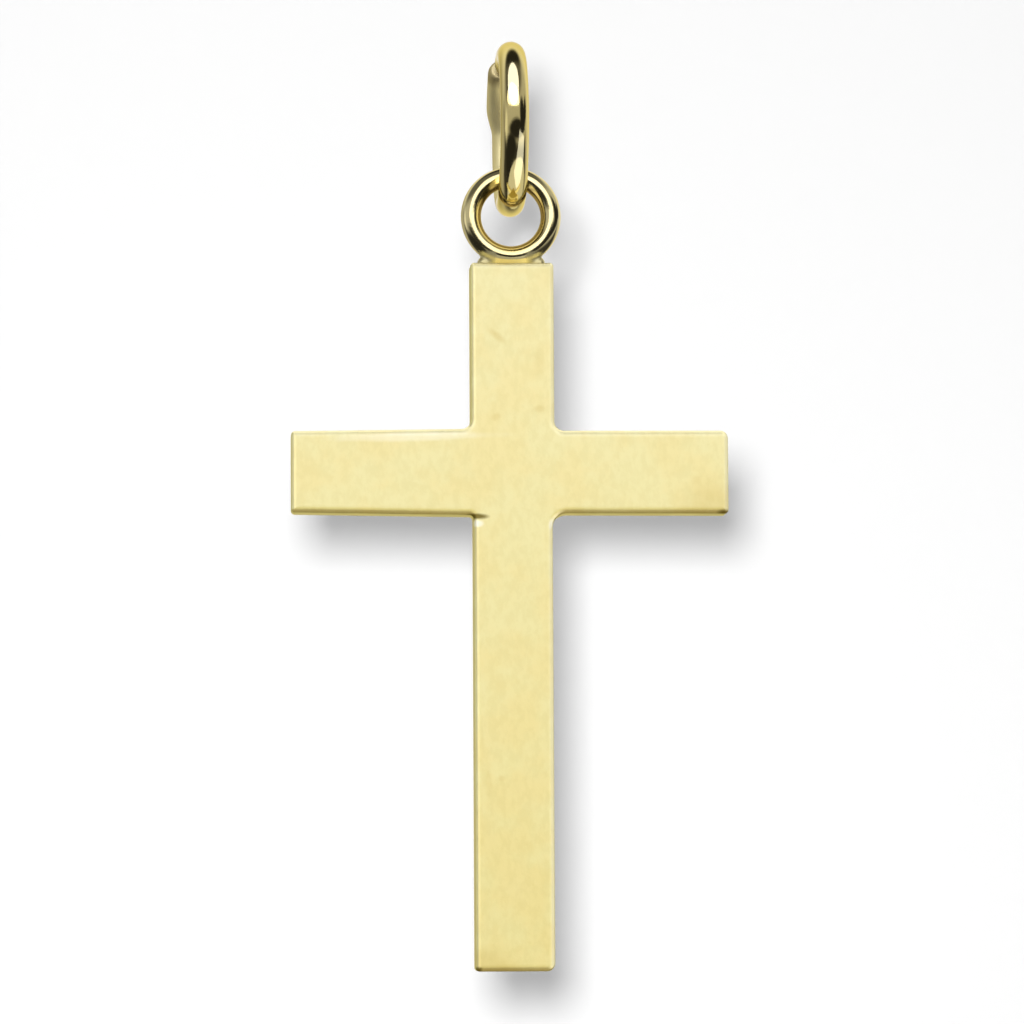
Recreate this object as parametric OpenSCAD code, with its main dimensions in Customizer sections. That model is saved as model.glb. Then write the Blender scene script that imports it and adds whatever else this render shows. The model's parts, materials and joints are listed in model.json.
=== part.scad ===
// Plain cross pendant with a soldered eyelet, hanging from a round jump ring.
// X is to the wearer's left, Y points away from the viewer and Z is up.
// The origin is the inner top of the jump ring, where a chain passes through.

/* [Cross] */
// Height of the plate from its foot to its top edge
cross_h = 23.6; // [18:0.1:32]
// Width of the plate across its arms
cross_w = 14.6; // [11:0.1:20]
// Thickness of the plate
plate_t = 1.2; // [0.9:0.05:2]
// Width of the upright above the arms
upper_w = 2.78; // [2.5:0.01:3.6]
// Width of the upright below the arms
lower_w = 2.63; // [2.5:0.01:3.6]
// Height of the right arm at its tip
right_tip_h = 2.78; // [2:0.01:3.6]
// Height of the right arm where it meets the upright
right_root_h = 2.76; // [2.2:0.01:3.8]
// Height of the left arm at its tip
left_tip_h = 2.71; // [2:0.01:3.6]
// Height of the left arm where it meets the upright
left_root_h = 2.88; // [2.2:0.01:3.8]
// Distance from the top edge down to the arms' centre line
arm_drop = 7.03; // [5:0.01:9]
// Distance that the arms' middle lies to the left of the upright's
arm_shift = 0.09; // [-0.3:0.01:0.3]
// Radius of the outer corners
outer_r = 0.13; // [0.05:0.01:0.4]
// Radius of the two worn corners: the right arm's upper one and the foot's right one
worn_r = 0.26; // [0.05:0.01:0.5]
// Radius of the two inner corners above the arms
upper_inner_r = 0.33; // [0.05:0.01:0.7]
// Radius of the inner corner below the right arm
lower_right_r = 0.5; // [0.05:0.01:0.7]
// Radius of the inner corner below the left arm
lower_left_r = 0.14; // [0.05:0.01:0.7]

/* [Eyelet] */
// Outer diameter of the eyelet
eyelet_od = 3.36; // [3:0.01:3.8]
// Diameter of the eyelet's wire
eyelet_wire = 0.68; // [0.55:0.01:0.8]
// Depth that the eyelet is let into the top edge
eyelet_sink = 0.05; // [0.03:0.01:0.2]
// Angle that the solder climbs up each side of the eyelet
solder_angle = 34; // [25:1:36]
// Width of the solder on the top edge
solder_w = 2.26; // [1.9:0.01:2.4]
// Thickness of the solder from front to back
solder_t = 0.38; // [0.3:0.01:0.44]
// Height of the solder above the top edge at its two ends
solder_rise = 0.3; // [0.1:0.01:0.32]

/* [Jump ring] */
// Outer diameter of the jump ring
ring_od = 5.9; // [5:0.05:7]
// Diameter of the jump ring's wire
ring_wire = 0.95; // [0.8:0.01:1.2]
// Angle from the ring's top back to its cut
cut_angle = 24; // [20:1:50]
// Gap between the cut ends
cut_gap = 0.06; // [0.03:0.01:0.12]
// Sideways offset of the cut ends
cut_offset = 0.2; // [0.02:0.01:0.45]
// Angle from the ring's lowest point up its back to where the wire steps aside
step_angle = 94; // [60:1:110]
// Angle of the ring over which the wire steps aside
step_length = 24; // [12:1:28]

/* [Fit] */
// Clearance where the eyelet hangs on the jump ring
hang_gap = 0.03; // [0.02:0.005:0.08]

/* [Hidden] */
$fn = 96;

// Straight steps that a rounded corner of the plate is drawn in
corner_steps = 8;
// How far the balls at both ends of the step in the ring stand proud of the wire
ball_proud = 0.01;

ring_r = (ring_od - ring_wire) / 2;
ring_z = ring_wire - ring_od / 2;
ring_floor_z = ring_z - ring_r + ring_wire / 2;
cut_half_angle = asin(cut_gap / 2 / ring_r);

eyelet_r = (eyelet_od - eyelet_wire) / 2;
hang_z = ring_floor_z + hang_gap + eyelet_wire / 2;
eyelet_z = hang_z - eyelet_r;
top_z = eyelet_z - eyelet_od / 2 + eyelet_sink;

// The plate's corners in its own plane, from the top edge down one side, and the radius of each.
function side_corners(side, tip_h, root_h, tip_r, lower_r, foot_r) = [
    [[side * upper_w / 2, 0], outer_r],
    [[side * upper_w / 2, root_h / 2 - arm_drop], upper_inner_r],
    [[side * cross_w / 2 - arm_shift, tip_h / 2 - arm_drop], tip_r],
    [[side * cross_w / 2 - arm_shift, -tip_h / 2 - arm_drop], outer_r],
    [[side * lower_w / 2, -root_h / 2 - arm_drop], lower_r],
    [[side * lower_w / 2, -cross_h], foot_r]
];

function reversed(list) = [for (i = [len(list) - 1:-1:0]) list[i]];

corners = concat(
    side_corners(1, right_tip_h, right_root_h, worn_r, lower_right_r, worn_r),
    reversed(side_corners(-1, left_tip_h, left_root_h, outer_r, lower_left_r, outer_r))
);

function unit(v) = v / norm(v);

// The points of the arc of radius r that rounds corner c between its neighbours a and b.
function corner_arc(a, c, b, r) =
    let (
        to_a = unit(a - c),
        to_b = unit(b - c),
        half = acos(to_a * to_b) / 2,
        centre = c + unit(to_a + to_b) * r / sin(half),
        start = c + to_a * r / tan(half) - centre,
        turn = sign(cross(to_a, to_b)) * (2 * half - 180)
    )
    [for (i = [0:corner_steps])
        let (t = turn * i / corner_steps)
        centre + [start.x * cos(t) - start.y * sin(t), start.x * sin(t) + start.y * cos(t)]];

module plate_outline() {
    count = len(corners);
    polygon([for (i = [0:count - 1]) each corner_arc(
        corners[(i + count - 1) % count][0],
        corners[i][0],
        corners[(i + 1) % count][0],
        corners[i][1]
    )]);
}

// Solder along the top edge and in the two narrow wedges beside the eyelet.
module solder() {
    web_x = eyelet_r * sin(solder_angle);
    web_z = eyelet_z - eyelet_r * cos(solder_angle);
    root_z = top_z - eyelet_sink;
    rotate([90, 0, 0])
        linear_extrude(solder_t, center = true)
            polygon([
                [-solder_w / 2, root_z],
                [solder_w / 2, root_z],
                [solder_w / 2, top_z + solder_rise],
                [web_x, web_z],
                [-web_x, web_z],
                [-solder_w / 2, top_z + solder_rise]
            ]);
}

module eyelet() {
    translate([0, 0, eyelet_z])
        rotate([90, 0, 0])
            rotate_extrude()
                translate([eyelet_r, 0])
                    circle(d = eyelet_wire);
}

module plate() {
    translate([0, 0, top_z])
        rotate([90, 0, 0])
            linear_extrude(plate_t, center = true)
                plate_outline();
}

// The cross, its eyelet and the solder are one piece of metal.
module cross_piece() {
    color([0.94, 0.88, 0.62]) {
        plate();
        eyelet();
        solder();
    }
}

// A stretch of the ring's wire from one angle to another, both measured from the ring's lowest
// point up its back.
module ring_arc(from, to) {
    rotate([from, 0, 0])
        rotate([0, 90, 0])
            rotate_extrude(angle = to - from)
                translate([ring_r, 0])
                    circle(d = ring_wire);
}

// A straight stretch of the ring's wire between two points, with a ball at each.
module ring_link(a, b) {
    run = b - a;
    for (p = [a, b])
        translate(p)
            sphere(d = ring_wire + 2 * ball_proud);
    translate(a)
        rotate([0, acos(run.z / norm(run)), atan2(run.y, run.x)])
            cylinder(h = norm(run), d = ring_wire);
}

function ring_point(angle) = [0, ring_r * sin(angle), -ring_r * cos(angle)];

// The end above the step stands aside to the left, beside the other cut end.
module jump_ring() {
    aside = [-cut_offset, 0, 0];
    step_end = step_angle + step_length;
    color([0.85, 0.76, 0.46])
        translate([0, 0, ring_z]) {
            ring_arc(cut_half_angle - cut_angle - 180, step_angle);
            ring_link(ring_point(step_angle), ring_point(step_end) + aside);
            translate(aside)
                ring_arc(step_end, 180 - cut_angle - cut_half_angle);
        }
}

cross_piece();  // cross
jump_ring();
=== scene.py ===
import json
from math import acos, asin, cos, pi, radians, sin, sqrt, tan

import bpy
import numpy as np
from mathutils import Matrix, Vector


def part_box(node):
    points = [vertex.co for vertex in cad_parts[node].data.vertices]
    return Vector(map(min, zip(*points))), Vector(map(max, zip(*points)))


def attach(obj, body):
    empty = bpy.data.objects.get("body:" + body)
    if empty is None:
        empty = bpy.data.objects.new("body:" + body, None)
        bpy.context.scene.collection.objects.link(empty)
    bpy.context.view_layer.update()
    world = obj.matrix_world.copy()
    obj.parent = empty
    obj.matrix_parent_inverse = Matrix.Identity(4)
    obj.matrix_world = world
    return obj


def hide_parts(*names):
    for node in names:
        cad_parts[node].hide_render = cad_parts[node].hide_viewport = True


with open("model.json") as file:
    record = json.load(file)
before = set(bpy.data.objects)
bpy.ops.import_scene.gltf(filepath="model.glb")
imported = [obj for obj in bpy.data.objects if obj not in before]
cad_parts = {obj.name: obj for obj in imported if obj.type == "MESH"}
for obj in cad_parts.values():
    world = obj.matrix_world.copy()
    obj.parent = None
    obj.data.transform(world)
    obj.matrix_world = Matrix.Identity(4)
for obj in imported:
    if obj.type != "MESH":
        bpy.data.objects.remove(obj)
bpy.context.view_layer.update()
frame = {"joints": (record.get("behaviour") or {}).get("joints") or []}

MM = 0.001

# Sizes of the cross in millimetres, the rest of which come from the frame.
UPPER_W = 2.78
LOWER_W = 2.63
RIGHT_TIP_H = 2.78
RIGHT_ROOT_H = 2.76
LEFT_TIP_H = 2.71
LEFT_ROOT_H = 2.88
ARM_DROP = 7.03
OUTER_R = 0.13
WORN_R = 0.26
UPPER_INNER_R = 0.33
LOWER_RIGHT_R = 0.5
LOWER_LEFT_R = 0.14
MIN_CORNER_R = 0.005
CORNER_STEPS = 12

# The edge of the plate: a rounding, then a faint crown left by polishing.
EDGE_W = 0.18
EDGE_H = 0.11
CROWN_W = 0.26
CROWN_DROP = 0.02
EDGE_STEPS = 8
CROWN_STEPS = 6

# The eyelet and the block of solder at its foot.
EYELET_OD = 3.36
EYELET_WIRE = 0.68
EYELET_SINK = 0.05
SOLDER_HALF_W = 1.13
SOLDER_HALF_T = 0.2
SOLDER_HALF_H = 0.4
SOLDER_RISE = 0.24
SOLDER_ROUND = 0.17
SOLDER_FLOW = 0.14

# The grid in which the eyelet's surface is found, and how the surface is drawn to its place.
GRID_CELL = 0.045
GRID_MARGIN = 0.1
GRID_DEPTH = 0.7
NEWTON_STEPS = 4
SLOPE_SHARE = 0.01

# The jump ring, the rounded noses at its cut and the step aside of its wire.
RING_OD = 5.9
RING_WIRE = 0.95
CUT_ANGLE = 24
CUT_GAP = 0.06
CUT_OFFSET = 0.2
CUT_ROUND = 0.16
CUT_NOSE = 0.3
STEP_ANGLE = 94
STEP_LENGTH = 24
RING_STEPS = 240
WIRE_STEPS = 40


# Places that the frame gives.
def in_mm(vector):
    return [value / MM for value in vector]


cross_low, cross_high = (in_mm(corner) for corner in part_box("cross"))
ring_high = in_mm(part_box("jump_ring")[1])
hang_z = frame["joints"][0]["pos_m"][2] / MM
eyelet_r = (EYELET_OD - EYELET_WIRE) / 2
eyelet_z = hang_z - eyelet_r
top_z = eyelet_z - EYELET_OD / 2 + EYELET_SINK
foot_z = cross_low[2]
arm_ends = {-1: cross_low[0], 1: cross_high[0]}
half_t = cross_high[1]
ring_r = (RING_OD - RING_WIRE) / 2
ring_z = ring_high[2] - RING_OD / 2


def add_object(name, points, faces):
    """A smooth mesh object from points in millimetres."""
    mesh = bpy.data.meshes.new(name)
    mesh.from_pydata([Vector(p) * MM for p in points], [], faces)
    mesh.polygons.foreach_set("use_smooth", [True] * len(mesh.polygons))
    mesh.update()
    obj = bpy.data.objects.new(name, mesh)
    bpy.context.scene.collection.objects.link(obj)
    return obj


# The plate of the cross.
def side_corners(side, tip_h, root_h, tip_r, lower_r, foot_r):
    """Corner, radius and whether it is an inner corner, from the top edge down one side."""
    arm_z = top_z - ARM_DROP
    return [
        ((side * UPPER_W / 2, top_z), OUTER_R, False),
        ((side * UPPER_W / 2, arm_z + root_h / 2), UPPER_INNER_R, True),
        ((arm_ends[side], arm_z + tip_h / 2), tip_r, False),
        ((arm_ends[side], arm_z - tip_h / 2), OUTER_R, False),
        ((side * LOWER_W / 2, arm_z - root_h / 2), lower_r, True),
        ((side * LOWER_W / 2, foot_z), foot_r, False),
    ]


def plate_ring(inset):
    """The plate's rounded outline, drawn in by the inset, as points in its plane."""
    right = side_corners(1, RIGHT_TIP_H, RIGHT_ROOT_H, WORN_R, LOWER_RIGHT_R, WORN_R)
    left = side_corners(-1, LEFT_TIP_H, LEFT_ROOT_H, OUTER_R, LOWER_LEFT_R, OUTER_R)
    corners = right + left[::-1]
    count = len(corners)
    sharp = []
    for i in range(count):
        here = Vector(corners[i][0])
        before = (here - Vector(corners[i - 1][0])).normalized()
        after = (Vector(corners[(i + 1) % count][0]) - here).normalized()
        inward_a = Vector((before.y, -before.x))
        inward_b = Vector((after.y, -after.x))
        sharp.append(here + (inward_a + inward_b) * inset / (1 + inward_a.dot(inward_b)))
    points = []
    for i, (_, radius, inner) in enumerate(corners):
        radius = radius + inset if inner else max(radius - inset, MIN_CORNER_R)
        to_a = (sharp[i - 1] - sharp[i]).normalized()
        to_b = (sharp[(i + 1) % count] - sharp[i]).normalized()
        half = acos(to_a.dot(to_b)) / 2
        centre = sharp[i] + (to_a + to_b).normalized() * radius / sin(half)
        start = sharp[i] + to_a * radius / tan(half) - centre
        turn = (2 * half - pi) * (1 if to_a.cross(to_b) > 0 else -1)
        for k in range(CORNER_STEPS + 1):
            angle = turn * k / CORNER_STEPS
            c, s = cos(angle), sin(angle)
            points.append((centre.x + start.x * c - start.y * s, centre.y + start.x * s + start.y * c))
    return points


def edge_profile():
    """Pairs of inset and drop from the face, from the side of the plate inwards."""
    insets = [EDGE_W * (1 - cos(pi / 2 * k / EDGE_STEPS)) for k in range(EDGE_STEPS + 1)]
    insets += [EDGE_W + (CROWN_W - EDGE_W) * k / CROWN_STEPS for k in range(1, CROWN_STEPS + 1)]
    pairs = []
    for inset in insets:
        drop = CROWN_DROP * (1 - inset / CROWN_W) ** 2
        if inset < EDGE_W:
            drop += EDGE_H * (1 - sqrt(1 - (1 - inset / EDGE_W) ** 2))
        pairs.append((inset, drop))
    return pairs


def build_plate():
    profile = edge_profile()
    front = [(inset, drop - half_t) for inset, drop in profile[::-1]]
    back = [(inset, half_t - drop) for inset, drop in profile]
    points, faces = [], []
    for inset, y in front + back:
        points += [(x, y, z) for x, z in plate_ring(inset)]
    per_ring = len(points) // (2 * len(profile))
    rings = 2 * len(profile)
    for r in range(rings - 1):
        for k in range(per_ring):
            a, b = r * per_ring + k, r * per_ring + (k + 1) % per_ring
            faces.append((a, b, b + per_ring, a + per_ring))
    faces.append(tuple(range(per_ring))[::-1])
    faces.append(tuple(range((rings - 1) * per_ring, rings * per_ring)))
    return add_object("plate", points, faces)


# The eyelet and its solder: one smooth surface found round a blended distance field.
def blend_min(a, b, reach):
    """The smaller of two distances, with a fillet of the given reach where they are alike."""
    h = np.clip(0.5 + 0.5 * (b - a) / reach, 0, 1)
    return b + (a - b) * h - reach * h * (1 - h)


def eyelet_field(p):
    """Distance from the eyelet's ring of wire, blended into that from the solder."""
    x, y, z = p[..., 0], p[..., 1], p[..., 2]
    wire = np.hypot(np.hypot(x, z - eyelet_z) - eyelet_r, y) - EYELET_WIRE / 2
    qx = np.abs(x) - SOLDER_HALF_W + SOLDER_ROUND
    qy = np.abs(y) - SOLDER_HALF_T + SOLDER_ROUND
    qz = np.abs(z - top_z - SOLDER_RISE + SOLDER_HALF_H) - SOLDER_HALF_H + SOLDER_ROUND
    outside = np.sqrt(sum(np.maximum(q, 0) ** 2 for q in (qx, qy, qz)))
    seat = outside + np.minimum(np.maximum(np.maximum(qx, qy), qz), 0) - SOLDER_ROUND
    return blend_min(wire, seat, SOLDER_FLOW)


def surface_of(field, low, high, cell):
    """Points and quads of the field's zero surface, by surface nets, drawn onto it by Newton steps."""
    axes = [np.arange(low[i], high[i] + cell, cell) for i in range(3)]
    grid = np.stack(np.meshgrid(*axes, indexing="ij"), -1)
    value = field(grid)
    inside = value < 0
    total = np.zeros([n - 1 for n in inside.shape] + [3])
    count = np.zeros([n - 1 for n in inside.shape])
    edges = []
    for axis in range(3):
        first = [slice(None)] * 3
        second = [slice(None)] * 3
        first[axis], second[axis] = slice(0, -1), slice(1, None)
        first, second = tuple(first), tuple(second)
        crossing = inside[first] != inside[second]
        at = np.argwhere(crossing)
        va, vb = value[first][crossing], value[second][crossing]
        place = grid[first][crossing]
        place[:, axis] += cell * va / (va - vb)
        others = [i for i in range(3) if i != axis]
        for du in (0, 1):
            for dv in (0, 1):
                owner = at.copy()
                owner[:, others[0]] -= du
                owner[:, others[1]] -= dv
                np.add.at(total, tuple(owner.T), place)
                np.add.at(count, tuple(owner.T), 1)
        edges.append((axis, others, at, inside[first][crossing]))
    used = count > 0
    index = -np.ones(count.shape, int)
    index[used] = np.arange(used.sum())
    points = total[used] / count[used][:, None]
    faces = []
    for axis, (u, v), at, starts_inside in edges:
        step_u, step_v = np.zeros(3, int), np.zeros(3, int)
        step_u[u], step_v[v] = 1, 1
        quad = [at - step_u - step_v, at - step_v, at, at - step_u]
        quad = np.stack([index[tuple(q.T)] for q in quad], 1)
        flip = starts_inside == (axis == 1)
        quad[flip] = quad[flip][:, ::-1]
        faces += quad.tolist()
    small = cell * SLOPE_SHARE
    for _ in range(NEWTON_STEPS):
        slope = np.stack([
            (field(points + small * unit) - field(points - small * unit)) / (2 * small)
            for unit in np.eye(3)
        ], 1)
        points = points - slope * (field(points) / (slope ** 2).sum(1))[:, None]
    return points.tolist(), faces


def build_eyelet():
    reach = EYELET_OD / 2 + GRID_MARGIN
    low = (-reach, -EYELET_WIRE, top_z - GRID_DEPTH)
    high = (reach, EYELET_WIRE, eyelet_z + reach)
    points, faces = surface_of(eyelet_field, low, high, GRID_CELL)
    return add_object("eyelet", points, faces)


# The jump ring.
def wire_frame(angle):
    """Centre of the wire and its outward and sideways directions, at an angle from the ring's
    lowest point."""
    outward = Vector((0, sin(angle), -cos(angle)))
    share = min(max((angle - radians(STEP_ANGLE)) / radians(STEP_LENGTH), 0), 1)
    aside = CUT_OFFSET * share ** 2 * (3 - 2 * share)
    slope = CUT_OFFSET * 6 * share * (1 - share) / (radians(STEP_LENGTH) * ring_r)
    sideways = outward.cross(Vector((-slope, cos(angle), sin(angle)))).normalized()
    return outward * ring_r + Vector((-aside, 0, ring_z)), outward, sideways


def build_jump_ring():
    half_gap = asin(CUT_GAP / 2 / ring_r)
    start = -(pi + radians(CUT_ANGLE) - half_gap)
    end = pi - radians(CUT_ANGLE) - half_gap
    round_angle = CUT_NOSE / ring_r
    nose = []
    for k in range(EDGE_STEPS + 1):
        lift = pi / 2 * k / EDGE_STEPS
        nose.append((round_angle * (1 - sin(lift)), CUT_ROUND * (1 - cos(lift))))
    stations = [(start + reach, drop) for reach, drop in nose[::-1]]
    stations += [(start + round_angle + (end - start - 2 * round_angle) * k / RING_STEPS, 0)
                 for k in range(1, RING_STEPS)]
    stations += [(end - reach, drop) for reach, drop in nose]
    points, faces = [], []
    for angle, drop in stations:
        centre, outward, sideways = wire_frame(angle)
        radius = RING_WIRE / 2 - drop
        for k in range(WIRE_STEPS):
            t = 2 * pi * k / WIRE_STEPS
            points.append(centre + (outward * cos(t) + sideways * sin(t)) * radius)
    for r in range(len(stations) - 1):
        for k in range(WIRE_STEPS):
            a, b = r * WIRE_STEPS + k, r * WIRE_STEPS + (k + 1) % WIRE_STEPS
            faces.append((a, b, b + WIRE_STEPS, a + WIRE_STEPS))
    faces.append(tuple(range(WIRE_STEPS))[::-1])
    last = (len(stations) - 1) * WIRE_STEPS
    faces.append(tuple(range(last, last + WIRE_STEPS)))
    return add_object("jump_ring_wire", points, faces)


# Materials.
class Nodes:
    """Short calls for building a material's node tree."""

    def __init__(self, tree):
        self.tree = tree

    def add(self, kind, **values):
        node = self.tree.nodes.new(kind)
        for key, value in values.items():
            if key in node.inputs:
                node.inputs[key].default_value = value
            else:
                setattr(node, key, value)
        return node

    def link(self, source, target):
        self.tree.links.new(source, target)

    def feed(self, socket, value):
        """Sets a socket to a number, or links another socket to it."""
        if isinstance(value, (int, float)):
            socket.default_value = value
        else:
            self.link(value, socket)

    def math(self, operation, a, b=0.0):
        node = self.add("ShaderNodeMath", operation=operation)
        self.feed(node.inputs[0], a)
        self.feed(node.inputs[1], b)
        return node.outputs[0]

    def length(self, a, b):
        """The length of the flat vector of two values."""
        return self.math("SQRT", self.math("ADD", self.math("POWER", a, 2), self.math("POWER", b, 2)))

    def noise(self, where, scale, detail, roughness):
        node = self.add("ShaderNodeTexNoise", Scale=scale, Detail=detail, Roughness=roughness)
        self.link(where, node.inputs["Vector"])
        return node.outputs["Fac"]

    def ramp(self, value, start, stop):
        """A smooth rise from nought to one while the value goes from start to stop."""
        node = self.add("ShaderNodeMapRange", interpolation_type="SMOOTHSTEP")
        node.inputs["From Min"].default_value = start
        node.inputs["From Max"].default_value = stop
        self.link(value, node.inputs["Value"])
        return node.outputs["Result"]

    def cover(self, socket, mask, value):
        """Lays a value over what feeds the socket, as strongly as the mask says."""
        colour = socket.type == "RGBA"
        node = self.add("ShaderNodeMix", data_type="RGBA" if colour else "FLOAT")
        self.link(mask, node.inputs["Factor"])
        self.link(socket.links[0].from_socket, node.inputs["A"])
        node.inputs["B"].default_value = (*value, 1) if colour else value
        self.link(node.outputs["Result"], socket)

    def mix(self, factor, a, b):
        """A number between two others, by the factor."""
        node = self.add("ShaderNodeMix", data_type="FLOAT")
        self.feed(node.inputs["Factor"], factor)
        self.feed(node.inputs["A"], a)
        self.feed(node.inputs["B"], b)
        return node.outputs["Result"]


# The noises in the gold: clouds of colour, smudges and scratches. Each row gives the scale, the
# detail and the roughness.
CLOUD_NOISE = (650, 5, 0.55)
SMUDGE_NOISE = (900, 5, 0.6)
SCRATCH_NOISE = (6000, 4, 0.6)
# The stretch of a noise that its effect runs over, and the scratches' depth in metres.
CLOUD_RANGE = (0.35, 0.65)
SMUDGE_RANGE = (0.3, 0.7)
SCRATCH_DEPTH = 0.00001


def gold(name, light, deep, edge, rough, rough_spread, scratch):
    """Gold with clouds, smudges and scratches: the material and its nodes, the shader's inputs,
    the place on the piece, its three parts and the smudges, for what is added to it."""
    material = bpy.data.materials.new(name)
    material.use_nodes = True
    n = Nodes(material.node_tree)
    shader = material.node_tree.nodes["Principled BSDF"]
    shader.inputs["Metallic"].default_value = 1
    shader.inputs["Specular Tint"].default_value = (*edge, 1)
    where = n.add("ShaderNodeTexCoord").outputs["Object"]

    cloud = n.noise(where, *CLOUD_NOISE)
    tint = n.add("ShaderNodeMix", data_type="RGBA")
    tint.inputs["A"].default_value = (*light, 1)
    tint.inputs["B"].default_value = (*deep, 1)
    n.link(n.ramp(cloud, *CLOUD_RANGE), tint.inputs["Factor"])
    n.link(tint.outputs["Result"], shader.inputs["Base Color"])

    smudge = n.noise(where, *SMUDGE_NOISE)
    span = n.add("ShaderNodeMapRange")
    span.inputs["From Min"].default_value, span.inputs["From Max"].default_value = SMUDGE_RANGE
    span.inputs["To Min"].default_value = rough - rough_spread
    span.inputs["To Max"].default_value = rough + rough_spread
    n.link(smudge, span.inputs["Value"])
    n.link(span.outputs["Result"], shader.inputs["Roughness"])

    bump = n.add("ShaderNodeBump", Strength=scratch, Distance=SCRATCH_DEPTH)
    n.link(n.noise(where, *SCRATCH_NOISE), bump.inputs["Height"])
    n.link(bump.outputs["Normal"], shader.inputs["Normal"])

    parts = n.add("ShaderNodeSeparateXYZ")
    n.link(where, parts.inputs[0])
    return material, n, shader.inputs, where, parts.outputs, smudge


# Marks on the front face: small stains; painted shade where the face darkens towards the foot and the
# right arm's tip, at those corners, in a filed nick and in the inner corners below the arms; and
# painted highlights beside these inner corners and along the left arm's top edge. Each row gives the
# place, the two half widths in millimetres, the turn in degrees, the softness, the strength and the
# colour. Smudges blur their borders, and they fade over a short depth behind the rounding of the front
# edge.
STAIN_AND_SHADE = (0.62, 0.48, 0.16)
PAINTED_SHADE = (0.16, 0.12, 0.02)
PAINTED_HIGHLIGHT = (1, 0.98, 0.9)
MARKS = [
    (-0.52, -9.08, 0.36, 0.12, -40, 0.6, 0.38, STAIN_AND_SHADE),
    (-0.59, -11.8, 0.16, 0.12, 20, 0.6, 0.25, STAIN_AND_SHADE),
    (0.88, -11.52, 0.16, 0.1, 0, 0.6, 0.25, STAIN_AND_SHADE),
    (0.85, -9.9, 0.16, 0.42, 0, 0.8, 0.14, STAIN_AND_SHADE),
    (-0.85, -24.0, 0.09, 0.5, 0, 0.6, 0.15, STAIN_AND_SHADE),
    (-0.43, -23.83, 0.1, 0.09, 0, 0.6, 0.2, STAIN_AND_SHADE),
    (6.12, -13.9, 0.14, 0.14, 0, 0.6, 0.16, STAIN_AND_SHADE),
    # Painted shade: the face darker towards the foot and towards the right arm's tip.
    (-0.95, -30.0, 0.9, 0.5, -20, 0.8, 0.3, STAIN_AND_SHADE),
    (6.75, -14.75, 1.0, 0.65, 15, 0.9, 0.32, STAIN_AND_SHADE),
    # Painted shade at the corners of the foot and the right arm's tip, in a filed nick below the left
    # arm and in the corner below the right arm.
    (-1.25, -30.14, 0.13, 0.09, 0, 0.6, 0.8, PAINTED_SHADE),
    (7.08, -15.0, 0.22, 0.1, 0, 0.6, 0.8, PAINTED_SHADE),
    (-1.24, -15.12, 0.3, 0.08, -2, 0.5, 0.9, PAINTED_SHADE),
    (-1.42, -15.2, 0.12, 0.1, 60, 0.5, 0.9, PAINTED_SHADE),
    # Painted highlights beside the two inner corners below the arms.
    (-1.2, -15.37, 0.16, 0.1, 0, 0.5, 0.8, PAINTED_HIGHLIGHT),
    (1.45, -15.29, 0.07, 0.1, -20, 0.5, 0.8, PAINTED_SHADE),
    (1.24, -15.38, 0.06, 0.15, 0, 0.6, 0.4, PAINTED_HIGHLIGHT),
    # A painted highlight along the top edge of the left arm.
    (-3.4, -12.47, 2.3, 0.12, 1.5, 0.6, 0.4, PAINTED_HIGHLIGHT),
]
MARK_BLUR = 1.2
MARK_FADE_FROM = 0.05
MARK_FADE_TO = 0.25

# The grain of the plate's surface, drawn out along its height.
GRAIN_NOISE = (3500, 4, 0.6)
GRAIN_STRETCH = (1, 1, 0.6)
GRAIN_RANGE = (0.4, 0.62)
GRAIN_STRENGTH = 0.22
GRAIN_HUE = (0.7, 0.62, 0.3)


def plate_material():
    """The plate is softly polished, with a fine grain, stains, and painted shade and highlights."""
    material, n, inputs, where, parts, smudge = gold(
        "plate_gold", light=(0.855, 0.8, 0.49), deep=(0.86, 0.77, 0.44), edge=(0.85, 0.75, 0.3),
        rough=0.36, rough_spread=0.04, scratch=0.3)
    stretch = n.add("ShaderNodeMapping", Scale=GRAIN_STRETCH)
    n.link(where, stretch.inputs["Vector"])
    grain = n.noise(stretch.outputs["Vector"], *GRAIN_NOISE)
    worn = n.math("MULTIPLY", n.ramp(grain, *GRAIN_RANGE), GRAIN_STRENGTH)
    n.cover(inputs["Base Color"], worn, GRAIN_HUE)
    blur = n.math("MULTIPLY", n.math("SUBTRACT", smudge, 0.5), MARK_BLUR)
    edge_y = EDGE_H - half_t
    front = n.ramp(parts[1], (edge_y + MARK_FADE_TO) * MM, (edge_y + MARK_FADE_FROM) * MM)
    # Stains, painted shade and painted highlights are laid over the base colour.
    for x, z, half_w, half_h, turn, soft, strength, hue in MARKS:
        off_x = n.math("SUBTRACT", parts[0], x * MM)
        off_z = n.math("SUBTRACT", parts[2], z * MM)
        c, s = cos(radians(turn)), sin(radians(turn))
        along = n.math("ADD", n.math("MULTIPLY", off_x, c), n.math("MULTIPLY", off_z, s))
        over = n.math("SUBTRACT", n.math("MULTIPLY", off_z, c), n.math("MULTIPLY", off_x, s))
        along = n.math("DIVIDE", along, half_w * MM)
        over = n.math("DIVIDE", over, half_h * MM)
        far = n.math("ADD", n.length(along, over), blur)
        mask = n.math("MULTIPLY", n.ramp(far, 1 + soft, 1 - soft), front)
        n.cover(inputs["Base Color"], n.math("MULTIPLY", mask, strength), hue)
    return material


# Painted shade inside the eyelet's hole, between two distances from its middle, and the satin solder,
# which fades over two heights above the plate and two distances from the middle.
HOLE_SHADE_FROM = 1.2
HOLE_SHADE_TO = 1.06
HOLE_SHADE_HUE = (0.48, 0.4, 0.24)
SOLDER_HEIGHTS = (0.5, 0.3)
SOLDER_WIDTHS = (0.4, 0.65)
SOLDER_HUE = (0.85, 0.76, 0.42)
SOLDER_ROUGH = 0.45


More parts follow.
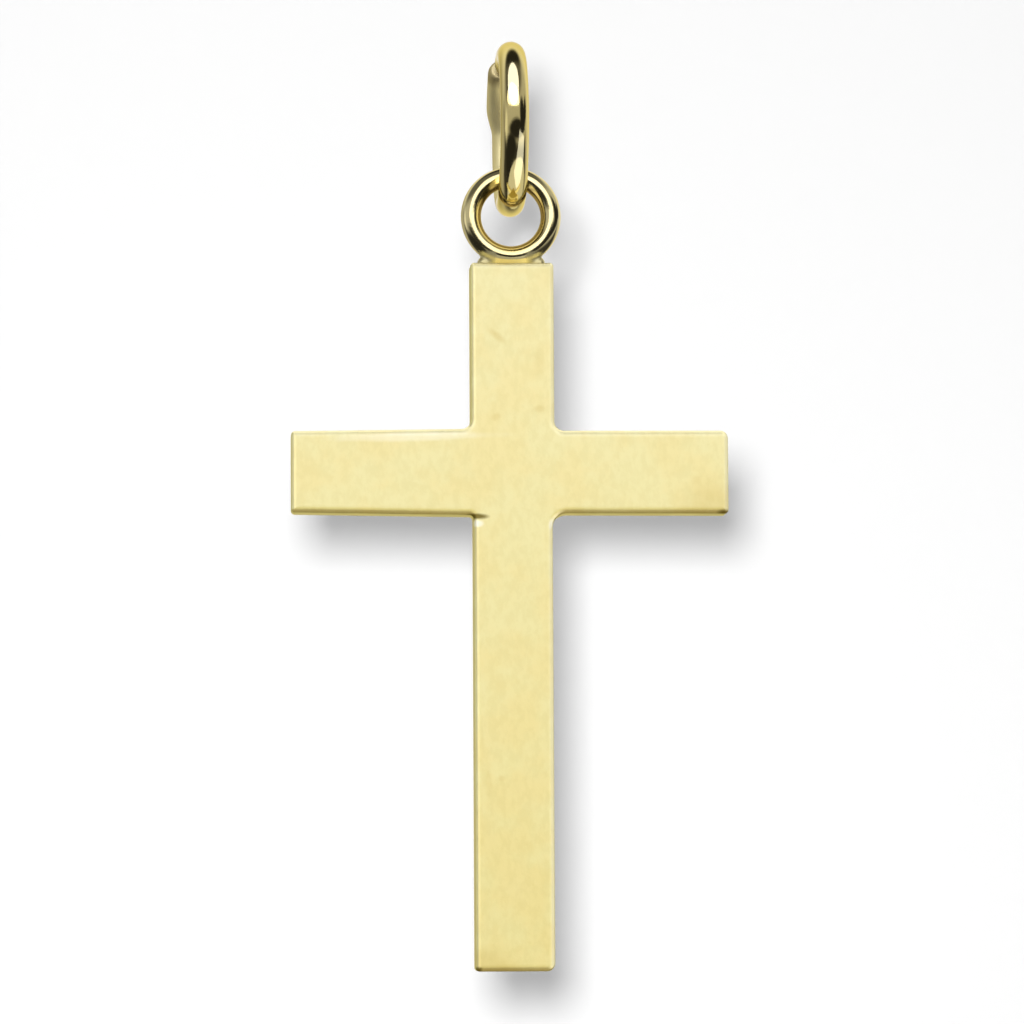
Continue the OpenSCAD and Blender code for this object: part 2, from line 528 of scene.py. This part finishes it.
def eyelet_material():
    """The wire of the eyelet is polished, painted darker inside its hole as shade, and its solder is
    satin.
    """
    material, n, inputs, _, parts, _ = gold(
        "eyelet_gold", light=(0.93, 0.81, 0.44), deep=(0.91, 0.78, 0.4), edge=(0.9, 0.8, 0.5),
        rough=0.12, rough_spread=0.03, scratch=0.15)
    far = n.length(parts[0], n.math("SUBTRACT", parts[2], eyelet_z * MM))
    # Painted shade: darker inside the eyelet's hole.
    n.cover(inputs["Base Color"], n.ramp(far, HOLE_SHADE_FROM * MM, HOLE_SHADE_TO * MM), HOLE_SHADE_HUE)
    low = n.ramp(parts[2], *((top_z + height) * MM for height in SOLDER_HEIGHTS))
    wide = n.ramp(n.math("ABSOLUTE", parts[0]), *(width * MM for width in SOLDER_WIDTHS))
    solder = n.math("MULTIPLY", low, wide)
    n.cover(inputs["Base Color"], solder, SOLDER_HUE)
    n.cover(inputs["Roughness"], solder, SOLDER_ROUGH)
    return material


# The duller back of the jump ring, which begins between two depths and is painted paler as painted
# light, and the dark round its cut.
BACK_FROM = 0.2
BACK_TO = 0.9
BACK_PAINTED_LIGHT = (1, 0.88, 0.46)
BACK_ROUGH = 0.56
CUT_DARK_FROM = 0.75
CUT_DARK_TO = 0.4
CUT_HUE = (0.6, 0.5, 0.24)


def ring_material():
    """The ring is polished to a mirror at its front, less at its back, which is painted paler as
    painted light, and its cut ends are dark.
    """
    material, n, inputs, _, parts, _ = gold(
        "wire_gold", light=(0.86, 0.72, 0.33), deep=(0.84, 0.7, 0.3), edge=(0.85, 0.75, 0.4),
        rough=0.09, rough_spread=0.03, scratch=0.15)
    back = n.ramp(parts[1], BACK_FROM * MM, BACK_TO * MM)
    # Painted light: the back of the ring painted paler, and made rougher.
    n.cover(inputs["Base Color"], back, BACK_PAINTED_LIGHT)
    n.cover(inputs["Roughness"], back, BACK_ROUGH)
    off_y = n.math("SUBTRACT", parts[1], ring_r * sin(radians(CUT_ANGLE)) * MM)
    off_z = n.math("SUBTRACT", parts[2], (ring_z + ring_r * cos(radians(CUT_ANGLE))) * MM)
    dark = n.ramp(n.length(off_y, off_z), CUT_DARK_FROM * MM, CUT_DARK_TO * MM)
    n.cover(inputs["Base Color"], dark, CUT_HUE)
    return material


def dress(obj, material, node):
    """Gives a piece its material, the node that it rides on and replaces."""
    obj.data.materials.clear()
    obj.data.materials.append(material)
    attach(obj, node)
    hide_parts(node)


plate = build_plate()
eyelet = build_eyelet()
jump_ring = build_jump_ring()
dress(plate, plate_material(), "cross")
dress(eyelet, eyelet_material(), "cross")
dress(jump_ring, ring_material(), "jump_ring")


# The stage: a pale sweep that is floor in front and wall behind.
FLOOR_Z = -120
WALL_Y = 200
SWEEP_R = 60
STAGE_HALF_W = 700
STAGE_FRONT = -700
WALL_TOP = 700
SWEEP_STEPS = 16
PAPER_GREY = 0.458
PAPER_ROUGH = 0.9


def build_sweep():
    line = [(STAGE_FRONT, FLOOR_Z), (WALL_Y - SWEEP_R, FLOOR_Z)]
    for k in range(1, SWEEP_STEPS + 1):
        t = pi / 2 * k / SWEEP_STEPS
        line.append((WALL_Y - SWEEP_R + SWEEP_R * sin(t), FLOOR_Z + SWEEP_R * (1 - cos(t))))
    line.append((WALL_Y, WALL_TOP))
    points = [(side * STAGE_HALF_W, y, z) for y, z in line for side in (-1, 1)]
    faces = [(2 * k, 2 * k + 1, 2 * k + 3, 2 * k + 2) for k in range(len(line) - 1)]
    sweep = add_object("sweep", points, faces)
    paper = bpy.data.materials.new("paper")
    paper.use_nodes = True
    shader = paper.node_tree.nodes["Principled BSDF"]
    shader.inputs["Base Color"].default_value = (PAPER_GREY, PAPER_GREY, PAPER_GREY, 1)
    shader.inputs["Roughness"].default_value = PAPER_ROUGH
    sweep.data.materials.append(paper)
    sweep.visible_glossy = False
    sweep.visible_shadow = False
    return sweep


def area_light(name, place, aim, size, radiance, receivers, shape, colour=(1, 1, 1)):
    """A soft light that only its receivers take."""
    data = bpy.data.lights.new(name, "AREA")
    data.shape = shape
    data.size, data.size_y = size[0] * MM, size[1] * MM
    data.energy = radiance * pi * data.size * data.size_y
    data.color = colour
    light = bpy.data.objects.new(name, data)
    light.location = Vector(place) * MM
    direction = (Vector(aim) - Vector(place)).normalized()
    light.rotation_mode = "QUATERNION"
    light.rotation_quaternion = direction.to_track_quat("-Z", "Y")
    light.visible_camera = False
    bpy.context.scene.collection.objects.link(light)
    group = bpy.data.collections.new(name + "_receivers")
    for obj in receivers:
        group.objects.link(obj)
    light.light_linking.receiver_collection = group


# Panels round the pendant that light one kind of surface each. Each row gives the angle up from
# the front, the angle to the right, the two half widths, all in degrees, the brightness, the
# colour, the pieces that take it and the outline.
PANEL_DISTANCE = 400
WHITE = (1, 1, 1)
AMBER = (1, 0.92, 0.5)
BRASS = (1, 0.82, 0.36)
OLIVE = (0.95, 1, 0.4)
PALE = (1, 0.98, 0.9)
COOL = (0.66, 0.71, 1)
PANELS = {
    "face_panel": (32, -12, 28, 40, 0.785, WHITE, [plate], "RECTANGLE"),
    "low_card": (-13, -8, 17, 40, 0.83, AMBER, [plate], "RECTANGLE"),
    "top_card": (95, 0, 30, 40, 1.25, WHITE, [plate], "RECTANGLE"),
    "right_card": (5, 62, 50, 36, 0.86, WHITE, [plate], "RECTANGLE"),
    "left_card": (180, -80, 40, 17, 0.42, OLIVE, [plate], "RECTANGLE"),
    "left_panel": (5, -30, 50, 13, 0.3, PALE, [plate], "RECTANGLE"),
    "under_card": (-75, 0, 45, 60, 0.38, BRASS, [plate], "RECTANGLE"),
    "eyelet_panel": (28, 4, 20, 24, 1.2, WHITE, [eyelet], "RECTANGLE"),
    "eyelet_floor": (-60, 0, 45, 22, 0.4, WHITE, [eyelet], "RECTANGLE"),
    "ring_card": (-60, 38, 36, 26, 1.0, COOL, [jump_ring], "RECTANGLE"),
    "ring_floor": (-95, 15, 50, 45, 0.5, WHITE, [jump_ring], "ELLIPSE"),
    "ring_panel": (56, -8, 32, 36, 1.6, COOL, [jump_ring], "ELLIPSE"),
    "ring_glint": (40, -12, 15, 44, 1.6, WHITE, [jump_ring], "ELLIPSE"),
}


def build_panels(middle):
    for name, (up, right, half_up, half_right, brightness, colour, receivers, shape) in PANELS.items():
        up, right = radians(up), radians(right)
        toward = Vector((sin(right), -cos(right) * cos(up), cos(right) * sin(up)))
        size = [2 * PANEL_DISTANCE * tan(radians(half)) for half in (half_right, half_up)]
        place = middle + toward * PANEL_DISTANCE
        area_light(name, place, middle, size, brightness, receivers, shape, colour)


# What the polished metal reflects, as soft patches round the pendant. Each row gives the angle
# from the front up over the top, the angle to the right, the two half widths, all in degrees,
# the softness of the patch's border as a share, and the brightness there.
BASE_LEVEL = 0.48
PATCHES = [
    (-90, 0, 66, 95, 0.2, 0.04),
    (160, 0, 50, 70, 0.4, 0.95),
    (180, -80, 70, 18, 0.3, 0.25),
    (180, -48, 45, 32, 0.4, 0.45),
    (72, -10, 46, 54, 0.2, 0.12),
    (104, -2, 16, 34, 0.4, 0.02),
    (10, -76, 40, 12, 0.4, 0.8),
    (-8, 22, 14, 72, 0.25, 0.02),
    (22, 62, 30, 24, 0.2, 0.02),
    (75, 76, 50, 10, 0.3, 0.02),
    (-32, -27, 18, 36, 0.3, 0.02),
    (-55, -40, 38, 30, 0.3, 0.02),
]


def build_world():
    world = bpy.data.worlds.new("studio")
    bpy.context.scene.world = world
    world.use_nodes = True
    n = Nodes(world.node_tree)
    back = world.node_tree.nodes["Background"]
    back.inputs["Color"].default_value = (1, 1, 1, 1)
    parts = n.add("ShaderNodeSeparateXYZ")
    n.link(n.add("ShaderNodeTexCoord").outputs["Generated"], parts.inputs[0])
    x, y, z = parts.outputs
    over = n.math("ARCTAN2", z, n.math("MULTIPLY", y, -1))
    aside = n.math("ARCSINE", x)
    level = BASE_LEVEL
    for up, right, half_up, half_right, soft, brightness in PATCHES:
        off_up = n.math("ABSOLUTE", n.math("SUBTRACT", over, radians(up)))
        off_up = n.math("MINIMUM", off_up, n.math("SUBTRACT", 2 * pi, off_up))
        off_up = n.math("DIVIDE", off_up, radians(half_up))
        off_right = n.math("DIVIDE", n.math("SUBTRACT", aside, radians(right)), radians(half_right))
        mask = n.ramp(n.length(off_up, off_right), 1 + soft, 1 - soft)
        level = n.mix(mask, level, brightness)
    seen = n.add("ShaderNodeLightPath").outputs["Is Camera Ray"]
    n.link(n.mix(seen, level, 1.0), back.inputs["Strength"])


sweep = build_sweep()
build_world()
build_panels(Vector((0, 0, (cross_low[2] + ring_high[2]) / 2)))

# Two lights on the sweep alone: a wide one, and a small strong one that throws the shadow.
WALL_AIM = (0, WALL_Y, -10)
area_light("wall_fill", place=(0, -500, 100), aim=WALL_AIM, size=(600, 600), radiance=3.0,
           receivers=[sweep], shape="RECTANGLE")
area_light("shadow_light", place=(-10.17, -149.1, -26.07), aim=WALL_AIM, size=(3.04, 3.33),
           radiance=47800, receivers=[sweep], shape="ELLIPSE")

# The camera, a little below and to the left of the pendant's middle.
CAMERA_AZIMUTH = -3.5
CAMERA_ELEVATION = -5
CAMERA_DISTANCE = 150
CAMERA_ROLL = -0.3
CAMERA_LENS = 157.8
CAMERA_AIM = (-0.01, 0, -14.93)
CAMERA_NEAR = 0.001
CAMERA_FAR = 10


def build_camera():
    azimuth, elevation = radians(CAMERA_AZIMUTH), radians(CAMERA_ELEVATION)
    back = Vector((sin(azimuth) * cos(elevation), -cos(azimuth) * cos(elevation), sin(elevation)))
    data = bpy.data.cameras.new("camera")
    data.lens = CAMERA_LENS
    data.clip_start, data.clip_end = CAMERA_NEAR, CAMERA_FAR
    camera = bpy.data.objects.new("camera", data)
    camera.rotation_mode = "QUATERNION"
    turn = (-back).to_track_quat("-Z", "Y").to_matrix()
    camera.rotation_quaternion = (turn @ Matrix.Rotation(radians(CAMERA_ROLL), 3, "Z")).to_quaternion()
    camera.location = (Vector(CAMERA_AIM) + back * CAMERA_DISTANCE) * MM
    bpy.context.scene.collection.objects.link(camera)
    bpy.context.scene.camera = camera


build_camera()
bpy.context.scene.view_settings.view_transform = "Standard"
